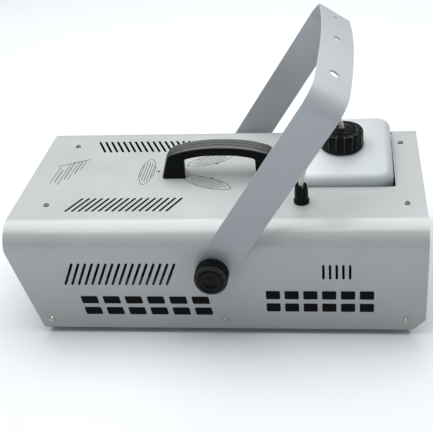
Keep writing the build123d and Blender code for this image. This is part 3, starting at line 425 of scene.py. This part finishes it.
def tube_along(path, radius, sides=28):
    """Rings of points round a path, turned as little as possible from one to the next."""
    points = []
    side = Vector((1, 0, 0))
    for i, here in enumerate(path):
        ahead = (path[min(i + 1, len(path) - 1)] - path[max(i - 1, 0)]).normalized()
        side = (side - ahead * side.dot(ahead)).normalized()
        up = ahead.cross(side)
        for k in range(sides):
            angle = 2 * pi * k / sides
            points.append(here + (side * cos(angle) + up * sin(angle)) * radius)
    faces = grid_faces(len(path), sides)
    last = (len(path) - 1) * sides
    return points, faces + [tuple(range(sides)), tuple(range(last, last + sides))]


points, faces = tube_along(hose_path, HOSE_RADIUS * MM)
hose = piece_from("suction_hose_tube", points, faces, None, "hose_pvc", nodes=["suction_hose"])
cap_low, cap_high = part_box("tank_cap")
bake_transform(hose)


# ---------------------------------------------------------------- cover and bracket

CORNER_Y, CORNER_Z, CORNER_R, SHEET = 105.0, 115.0, 28.0, 1.2

cover = refined("top_cover", "cover_shell", 0.3)
cover.data.materials.append(INNER_PAINT_AND_SHADE)
# Inner faces and the cut walls of the louvre slots take the inner finish, so they show painted shade inside
# the box.
for face in cover.data.polygons:
    y, z = abs(face.center.y) / MM, face.center.z / MM
    inner_side = abs(y - (CORNER_Y + CORNER_R - SHEET)) < 0.3 and z < CORNER_Z
    inner_top = abs(z - (CORNER_Z + CORNER_R - SHEET)) < 0.3 and y < CORNER_Y
    to_corner = ((y - CORNER_Y) ** 2 + (z - CORNER_Z) ** 2) ** 0.5
    inner_corner = y > CORNER_Y and z > CORNER_Z and to_corner < CORNER_R - SHEET / 2
    slot_wall = abs(face.center.x) < 0.19 and (
        abs(z - (CORNER_Z + CORNER_R - SHEET / 2)) < 0.4 and abs(face.normal.z) < 0.2
        or abs(y - (CORNER_Y + CORNER_R - SHEET / 2)) < 0.4 and abs(face.normal.y) < 0.2 and z > 10
    )
    if inner_side or inner_top or inner_corner or slot_wall:
        face.material_index = 1

refined("hanging_bracket", "bracket_strap", 0.6, 3)

# ---------------------------------------------------------------- carrying handle

HANDLE_X, HANDLE_HALF = -1.5, 13.0
LEG_POINTS, BOW_POINTS, TOP_POINTS = 16, 41, 74  # along each outline of the handle
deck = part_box("carry_handle")[0].z / MM


def rounded_corner(before, corner, after, radius, steps):
    """Points of an arc that rounds a corner of an outline."""
    before, corner, after = Vector(before), Vector(corner), Vector(after)
    one = (before - corner).normalized()
    two = (after - corner).normalized()
    half = one.angle(two) / 2
    reach = radius / np.tan(half)
    centre = corner + (one + two).normalized() * (radius / sin(half))
    first = corner + one * reach - centre
    last = corner + two * reach - centre
    start = atan2(first.y, first.x)
    turn = (atan2(last.y, last.x) - start + pi) % (2 * pi) - pi
    angles = [start + turn * i / steps for i in range(steps + 1)]
    return [centre + Vector((cos(angle), sin(angle))) * radius for angle in angles]


def bow(end, crown, count):
    """Points of the arc from (-end.x, end.y) over (0, crown) to (end.x, end.y)."""
    rise = crown - end[1]
    radius = (end[0] ** 2 + rise**2) / (2 * rise)
    half = np.arcsin(abs(end[0]) / radius)
    angles = np.linspace(-half, half, count)
    return [Vector((radius * sin(angle), crown - radius + radius * cos(angle))) for angle in angles]


def resample(outline, count):
    """Evenly spaced points along an outline."""
    rows = np.array([tuple(p) for p in outline])
    along = np.concatenate([[0], np.cumsum(np.linalg.norm(np.diff(rows, axis=0), axis=1))])
    wanted = np.linspace(0, along[-1], count)
    return np.stack([np.interp(wanted, along, rows[:, k]) for k in range(2)], axis=1)


def handle_outline(foot, corner, radius, steps, ahead, end, crown):
    """Left leg, top and right leg of one outline, sampled alike for the inside and the outside."""
    arc = rounded_corner(foot, corner, ahead, radius, steps)
    half = steps // 2
    leg = resample([Vector(foot)] + arc[: half + 1], LEG_POINTS)
    left = arc[half:]
    right = [Vector((-p.x, p.y)) for p in reversed(left)]
    top = resample(left + bow(end, crown, BOW_POINTS) + right, TOP_POINTS)
    return np.concatenate([leg, top[1:-1], leg[::-1] * (-1, 1)])


outer = handle_outline((-73.3, 0), (-64.5, 31), 13, 12, (-44, 37.6), (-44, 37.6), 42.5)
inner = handle_outline((-47, 0), (-46.5, 26.5), 4, 8, (-40, 28.6), (-40, 28.53), 34.3)

GROOVES = (-6.0, 0.0, 6.0)
GROOVE_DEPTH, GROOVE_WIDTH = 0.8, 0.6
CROWN = 2.4  # the top's edges lie this far below its middle
FLAT_HALF, TOP_COLUMNS = 12.2, 83
section = []  # (across, depth): below the outer line, or from the inner line for the places named below
for y in np.linspace(-FLAT_HALF, FLAT_HALF, TOP_COLUMNS):
    groove = sum(GROOVE_DEPTH * np.exp(-(((y - g) / GROOVE_WIDTH) ** 2)) for g in GROOVES)
    section.append((y, CROWN * (abs(y) / HANDLE_HALF) ** 2.2 + groove))
section += [(12.7, 2.5), (12.95, 2.9), (13.0, 3.6), (13.0, -2.2), (12.7, -1.0), (12.0, -0.3), (11.0, 0.0)]
section += [(y, 0.0) for y in (7.0, 3.0, 0.0, -3.0, -7.0)]
section += [(-11.0, 0.0), (-12.0, -0.3), (-12.7, -1.0), (-13.0, -2.2)]
section += [(-13.0, 3.6), (-12.95, 2.9), (-12.7, 2.5)]
INNER_FROM, INNER_TO = TOP_COLUMNS + 3, TOP_COLUMNS + 16
points = []
for outside, inside in zip(outer, inner):
    reach = inside - outside
    thick = np.linalg.norm(reach)
    reach = reach / thick
    for k, (y, depth) in enumerate(section):
        from_inner = INNER_FROM <= k <= INNER_TO
        place = inside + reach * depth if from_inner else outside + reach * depth
        points.append(Vector(((HANDLE_X + place[0]), y, max(deck + place[1], deck))) * MM)
faces = grid_faces(len(outer), len(section))
last = (len(outer) - 1) * len(section)
faces += [tuple(range(len(section))), tuple(range(last, last + len(section)))]
handle = piece_from("handle_bow", points, faces, "case", "handle_plastic", sharp=40, nodes=["carry_handle"])
handle.data.materials.append(HANDLE_PAINTED_SHEEN)
half_column = FLAT_HALF / (TOP_COLUMNS - 1)
# Faces on the handle's top between the grooves carry the painted sheen; the grooves stay black.
for index, face in enumerate(handle.data.polygons):
    row, column = divmod(index, len(section))
    if row < len(outer) - 1 and column < TOP_COLUMNS - 1:
        middle = section[column][0] + half_column
        if min(abs(middle - groove) for groove in GROOVES) >= GROOVE_WIDTH:
            face.material_index = 1

# ---------------------------------------------------------------- clamp knobs

KNOB_RIBS, COLUMNS_PER_KNOB_RIB = 44, 8
KNOB_RIB_DEPTH = 1.15
KNOB_HIGHLIGHT_ROWS = range(10, 18)  # painted highlights on the rib crests near the outer rim, as rows of the profile


def knob_rib(radius, height, share):
    """Fine grip: half-round ribs all round between the two chamfers."""
    if radius < 17.4:
        return radius
    fade = min(1.0, max(0.0, (height - 0.6) / 0.8), max(0.0, (19.3 - height) / 0.9))
    return radius - KNOB_RIB_DEPTH * fade * (0.5 - 0.5 * cos(2 * pi * share)) ** 0.7


KNOB_PROFILE = [
    (4.3, 0.0), (12.0, 0.0), (17.0, 0.0), (17.9, 0.3), (18.5, 0.8), (18.9, 1.5), (19.0, 2.4), (19.0, 6.0),
    (19.0, 10.0), (19.0, 14.0), (19.0, 16.8), (18.85, 17.8), (18.4, 18.6), (17.7, 19.15), (17.0, 19.4),
    (16.2, 19.5), (15.3, 19.5), (15.0, 19.4), (14.8, 19.1), (14.5, 18.75), (14.0, 18.6), (13.5, 18.75),
    (13.2, 19.1), (13.0, 19.4), (12.7, 19.5), (11.0, 19.5), (9.8, 19.45), (9.2, 19.3), (8.7, 18.9),
    (8.2, 18.3), (7.6, 17.95), (6.8, 17.8), (5.6, 17.8), (5.0, 17.9), (4.6, 18.15), (4.2, 18.35),
    (3.4, 18.45), (1.6, 18.5), (0.05, 18.5),
]
for name, side in (("left", -1), ("right", 1)):
    low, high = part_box(f"clamp_knob_{name}")
    face_y = high.y if side < 0 else low.y
    centre = (0.0, face_y, 0.0925)
    points, faces, count = turned(
        KNOB_PROFILE, centre, (0, side, 0), (1, 0, 0), KNOB_RIBS, knob_rib, COLUMNS_PER_KNOB_RIB,
    )
    last = (len(KNOB_PROFILE) - 1) * count
    faces.append(tuple(range(last, last + count)))
    grip = piece_from(
        f"knob_grip_{name}", points, faces, f"knob_{name}", "black_nylon", sharp=50,
        nodes=[f"clamp_knob_{name}"],
    )
    grip.data.materials.append(RIDGE_HIGHLIGHT_PAINT)
    # Rib crests near the knob's rim get the painted highlight.
    for index, face in enumerate(grip.data.polygons):
        row, column = divmod(index, count)
        if row in KNOB_HIGHLIGHT_ROWS and column % COLUMNS_PER_KNOB_RIB == 0:
            face.material_index = 1

# ---------------------------------------------------------------- tank cap and gland

CAP_RIBS, COLUMNS_PER_CAP_RIB = 16, 20
CAP_GROOVE_DEPTH = 1.5
CAP_GROOVE_COLUMNS = range(7, 13)


def cap_rib(radius, height, share):
    """Broad grips with narrow grooves between them, fading into the top and the bottom band."""
    if radius < 24.5 or height > 22.5:
        return radius
    fade = min(1.0, max(0.0, (height - 2.2) / 1.0), max(0.0, (20.6 - height) / 2.0))
    near_groove = abs(share - 0.5) / 0.17
    return radius - CAP_GROOVE_DEPTH * fade * max(0.0, 1 - near_groove**2)


CAP_PROFILE = [
    (22.0, 0.0), (25.7, 0.0), (26.15, 0.3), (26.3, 0.8), (26.3, 1.8), (26.3, 2.2), (26.3, 2.8), (26.3, 3.2),
    (26.3, 6.0), (26.3, 10.0), (26.3, 14.0), (26.3, 17.0), (26.2, 18.6), (26.0, 19.6), (25.6, 20.6),
    (24.9, 21.4), (24.0, 21.9), (23.0, 22.05), (20.5, 22.05), (19.0, 22.0), (18.3, 21.8), (17.9, 21.7),
    (17.6, 21.9), (17.5, 22.4), (17.4, 23.2), (17.1, 23.6), (16.6, 23.7), (14.0, 23.7), (12.2, 23.7),
    (11.8, 23.55), (11.6, 23.1), (11.3, 22.9), (10.6, 22.85), (7.0, 22.85), (5.9, 22.9), (5.4, 23.1),
    (5.2, 23.6), (5.15, 24.3), (4.9, 24.6), (4.4, 24.7), (3.3, 24.7), (3.08, 24.6), (3.05, 22.0),
]
CAP_WALL_ROWS, CAP_TOP_EDGE_ROWS, CAP_STEP_ROWS = range(7, 19), (19, 20), (29, 37)  # rows given painted highlights
CAP_CENTRE = ((cap_low.x + cap_high.x) / 2, (cap_low.y + cap_high.y) / 2, cap_low.z)
points, faces, count = turned(
    CAP_PROFILE, CAP_CENTRE, (0, 0, 1), (1, 0, 0), CAP_RIBS, cap_rib, COLUMNS_PER_CAP_RIB,
)
cap_grip = piece_from("tank_cap_grip", points, faces, "cap", "black_nylon", sharp=50, nodes=["tank_cap"])
cap_grip.data.materials.append(RIDGE_HIGHLIGHT_PAINT)
# Groove edges, the top edge and the stepped rings of the cap get the painted highlight.
for index, face in enumerate(cap_grip.data.polygons):
    row, column = divmod(index, count)
    within = column % COLUMNS_PER_CAP_RIB
    groove_edge = row in CAP_WALL_ROWS and within == CAP_GROOVE_COLUMNS[0] - 1
    top_edge = row in CAP_TOP_EDGE_ROWS and within not in CAP_GROOVE_COLUMNS
    if groove_edge or top_edge or row in CAP_STEP_ROWS:
        face.material_index = 1

refined("gland_nut", "gland_nut_dome", 0.35, 3)
refined("gland_body", "gland_collar", 0.3, 2)

# ---------------------------------------------------------------- tank and the other visible nodes

refined("fluid_tank", "tank_shell", 0.5, 2, sharp=40)
for node, width in (
    ("cover_screws", 0.12), ("front_panel", 0.3), ("rear_panel", 0.3), ("chassis_tray", 0.3),
    ("rubber_feet", 0.5), ("friction_washers", 0.25), ("nozzle", 0.35), ("nozzle_plate", 0.25),
    ("power_inlet", 0.3), ("switch_housing", 0.3), ("switch_rocker", 0.3), ("fuse_holder", 0.3),
    ("fuse_cap", 0.25), ("remote_socket", 0.3), ("inlet_screws", 0.1), ("foot_screws", 0.2),
    ("heater_block", 0.5), ("heater_jacket", 0.8), ("pump_coil", 0.6), ("pump_body", 0.4),
    ("transformer", 0.3), ("relays", 0.3), ("terminal_block", 0.25),
):
    refined(node, f"{node}_finished", width)

low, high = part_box("pump_plunger")
plunger_top = Vector(((low.x + high.x) / 2, (low.y + high.y) / 2, high.z))
spring_top = plunger_top.copy()
spring_top.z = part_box("pump_spring")[1].z
spring_mesh = frame["nodes"]["pump_spring"].data.copy()
spring = bpy.data.objects.new("pump_spring_coil", spring_mesh)
scene.collection.objects.link(spring)
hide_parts("pump_spring")
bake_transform(spring)

# ---------------------------------------------------------------- printed marks

INK_THICK = 0.07
BAR_SHARE = 0.76  # of the pitch from one block of bars to the next
BAR_CORNER, BAR_CORNER_STEPS = 1.6, 4
BAR_ROWS = ((0, 0.40), (0.60, 1))  # bottom and top of each row, as shares of the height
LINE_WIDTH = 0.75


def rounded_loop(corners):
    """Closed outline with its corners rounded."""
    loop = []
    for i, corner in enumerate(corners):
        after = corners[(i + 1) % len(corners)]
        loop += rounded_corner(corners[i - 1], corner, after, BAR_CORNER, BAR_CORNER_STEPS)
    return loop


def printed(name, loops, rings, place, finish):
    """Thin raised ink: solid loops, and rings of (outer, inner) loops, set in place by a function."""
    points, faces = [], []
    for loop in loops:
        start, n = len(points), len(loop)
        for lift in (0.0, INK_THICK):
            points += [place(p[0], p[1], lift) for p in loop]
        faces.append(tuple(range(start + n, start + 2 * n)))
        faces += grid_faces(2, n, start)
    for outside, inside in rings:
        start, n = len(points), len(outside)
        for loop, lift in ((outside, 0.0), (outside, INK_THICK), (inside, INK_THICK), (inside, 0.0)):
            points += [place(p[0], p[1], lift) for p in loop]
        faces += grid_faces(4, n, start)
    return piece_from(name, points, faces, "case", "black_nylon", finish, sharp=30)


def on_side(x, z, lift):
    return Vector((x, -CORNER_Y - CORNER_R - lift, z)) * MM


def on_top(x, y, lift):
    return Vector((x, y, CORNER_Z + CORNER_R + lift)) * MM


def bars(left, right, bottom, top, count, slant):
    """Row of slanted blocks, each split into bars across."""
    loops = []
    pitch = (right - left) / count
    width = pitch * BAR_SHARE
    for i in range(count):
        x = left + i * pitch
        for low, high in BAR_ROWS:
            z0, z1 = bottom + (top - bottom) * low, bottom + (top - bottom) * high
            s0, s1 = slant * (z0 - bottom), slant * (z1 - bottom)
            corners = [(x + s0, z0), (x + width + s0, z0), (x + width + s1, z1), (x + s1, z1)]
            loops.append(rounded_loop([Vector(c) for c in corners]))
    return loops


printed("side_bars_front", bars(-156.0, 1.5, 27.5, 53.7, 6, -0.16), [], on_side, INK)
printed("side_bars_rear", bars(58.0, 186.0, 33.0, 62.0, 6, 0.0), [], on_side, INK)


def leaf(x, y, half_long, half_wide, turn, steps=48):
    """Outline of a mark shaped like a leaf, turned about its centre."""
    loop = []
    for i in range(steps):
        angle = 2 * pi * (i + 0.5) / steps
        along = half_long * cos(angle)
        across = half_wide * sin(angle) * abs(sin(angle)) ** 0.35
        loop.append((x + along * cos(turn) - across * sin(turn), y + along * sin(turn) + across * cos(turn)))
    return loop


def stroke(x0, y0, x1, y1, width):
    """Thin straight line as a loop."""
    start, end = Vector((x0, y0)), Vector((x1, y1))
    side = (end - start).normalized().orthogonal() * width / 2
    return [start + side, end + side, end - side, start - side]


def leaf_mark(x, y, half_long, half_wide, turn, lines):
    """Leaf-shaped ring round a few thin lines, as a generic mark."""
    outside = leaf(x, y, half_long, half_wide, turn)
    inside = leaf(x, y, half_long - 1.1, half_wide - LINE_WIDTH, turn)
    loops = []
    for k in range(lines):
        share = (2 * k + 1) / lines - 1
        across = share * (half_wide - 1.5)
        reach = half_long * (0.82 - 0.38 * abs(share)) * (1.0 if k % 2 else 0.88)
        ends = []
        for along in (-reach, reach):
            ends += [x + along * cos(turn) - across * sin(turn), y + along * sin(turn) + across * cos(turn)]
        loops.append(stroke(*ends, LINE_WIDTH))
    return loops, (outside, inside)


top_loops, top_rings = [], []
LEAVES = (  # x, y, half length, half width, turn, lines inside
    (-95.5, 6.0, 34.0, 9.5, radians(90), 5),
    (-20.0, 35.0, 31.0, 12.0, radians(27), 6),
    (-17.0, -23.5, 34.0, 12.0, radians(-27), 6),
)
for mark in LEAVES:
    loops, ring = leaf_mark(*mark)
    top_loops += loops
    top_rings.append(ring)

HATCH_X, HATCH_PITCH = -212, 5.0
HATCH_ENDS = ((-22, 20), (-20, 12), (-26, 30), (-12, 33), (-14, 34), (2, 36), (12, 38))
for k, (low, high) in enumerate(HATCH_ENDS):
    x = HATCH_X + HATCH_PITCH * k
    top_loops.append(stroke(x, low, x + 3.0 * (high - low) / 45, high, 1.0 if k % 2 else 0.7))
top_loops.append(stroke(-213, 22, -176, 40, 0.9))
for x, y in ((-81.5, 6), (-11, 26), (-13, -12)):
    top_loops.append(leaf(x, y, 2.2, 1.6, 0.0, 12))
printed("top_fine_marks", top_loops, top_rings, on_top, FINE_INK)

# ---------------------------------------------------------------- floor, lights and camera


def area_light(name, place, aim, size, power):
    """Soft rectangular light that looks at a point."""
    data = bpy.data.lights.new(name, "AREA")
    data.shape = "RECTANGLE"
    data.size, data.size_y = size
    data.energy = power
    lamp = bpy.data.objects.new(name, data)
    lamp.location = place
    lamp.rotation_euler = (Vector(aim) - Vector(place)).to_track_quat("-Z", "Y").to_euler()
    scene.collection.objects.link(lamp)


floor_mesh = bpy.data.meshes.new("studio_floor")
FLOOR_HALF = 6
corners = [(FLOOR_HALF * x, FLOOR_HALF * y, 0) for x, y in ((-1, -1), (1, -1), (1, 1), (-1, 1))]
floor_mesh.from_pydata(corners, [], [(0, 1, 2, 3)])
floor = bpy.data.objects.new("studio_floor", floor_mesh)
PALE_FLOOR = material(
    "pale_floor", (0.77, 0.80, 0.83), (0.78, 0.81, 0.84), (0.85, 0.9), (), (2, 1.0), Specular_IOR_Level=0.1,
)
floor_mesh.materials.append(PALE_FLOOR)
scene.collection.objects.link(floor)

world = bpy.data.worlds.new("studio")
world.use_nodes = True
world.node_tree.nodes["Background"].inputs["Color"].default_value = (0.95, 1.0, 1.06, 1)
world.node_tree.nodes["Background"].inputs["Strength"].default_value = 0.24
scene.world = world
scene.view_settings.view_transform = "Standard"

area_light("top_softbox", (-0.08, 0.36, 1.8), (0, 0.15, 0.1), (2.6, 2.4), 61)

CAMERA_PLACE = (0.15001, -0.96759, 0.66528)  # fitted to the photograph, like the angles and the lens
YAW, PITCH, ROLL = radians(-6.812), radians(-31.752), radians(-3.756)
forward = Vector((sin(YAW) * cos(PITCH), cos(YAW) * cos(PITCH), sin(PITCH)))
level = Vector((cos(YAW), -sin(YAW), 0))
upward = level.cross(forward)
right = level * cos(ROLL) + upward * sin(ROLL)
up = upward * cos(ROLL) - level * sin(ROLL)
lens = bpy.data.cameras.new("camera")
lens.sensor_width = 36
lens.lens = 75.196
lens.shift_x = -0.0887
lens.shift_y = 0.0304
lens.clip_end = 20
camera = bpy.data.objects.new("camera", lens)
camera.matrix_world = Matrix((
    (right.x, up.x, -forward.x, CAMERA_PLACE[0]),
    (right.y, up.y, -forward.y, CAMERA_PLACE[1]),
    (right.z, up.z, -forward.z, CAMERA_PLACE[2]),
    (0, 0, 0, 1),
))
scene.collection.objects.link(camera)
scene.camera = camera
